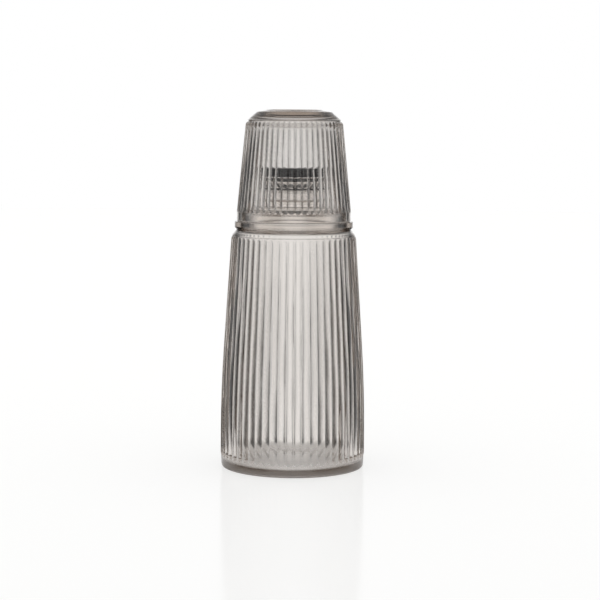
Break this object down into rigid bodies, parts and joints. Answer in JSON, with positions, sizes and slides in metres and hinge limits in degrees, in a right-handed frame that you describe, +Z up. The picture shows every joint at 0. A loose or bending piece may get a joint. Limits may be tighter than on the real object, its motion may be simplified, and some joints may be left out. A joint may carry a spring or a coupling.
{
  "type": "bedside carafe with tumbler",
  "caption": "Tall ribbed smoked-glass water carafe with a seal-ringed stopper in its neck and a ribbed tumbler upside down on its ledge as a cover.",
  "frame": {"origin": "centre of the base ring, on the table", "axes": "+Z up along the axis of the carafe, -Y is the front"},
  "size_m": [0.1052, 0.1052, 0.2594],
  "materials": {
    "body_glass": "smoke-grey pressed glass, fire polished",
    "tumbler_glass": "smoke-grey pressed glass, fire polished",
    "cap_black": "black moulded plastic, satin",
    "plug_clear": "clear moulded plastic, polished",
    "seal_black": "black silicone, matte",
    "seal_grey": "grey silicone, matte"
  },
  "bodies": {
    "carafe_body": {"carafe": "body_glass", "carafe_neck": "body_glass"},
    "tumbler_body": {"tumbler": "tumbler_glass"},
    "stopper_body": {"stopper_cap": "cap_black", "stopper_plug": "plug_clear", "upper_seal_ring": "seal_black", "lower_seal_ring": "seal_grey"}
  },
  "joints": [
    {"name": "tumbler_lift", "type": "slide", "parent": "carafe_body", "child": "tumbler_body", "axis": [0, 0, 1], "range_m": [0, 0.1]},
    {"name": "stopper_lift", "type": "slide", "parent": "carafe_body", "child": "stopper_body", "axis": [0, 0, 1], "range_m": [0, 0.022]}
  ]
}
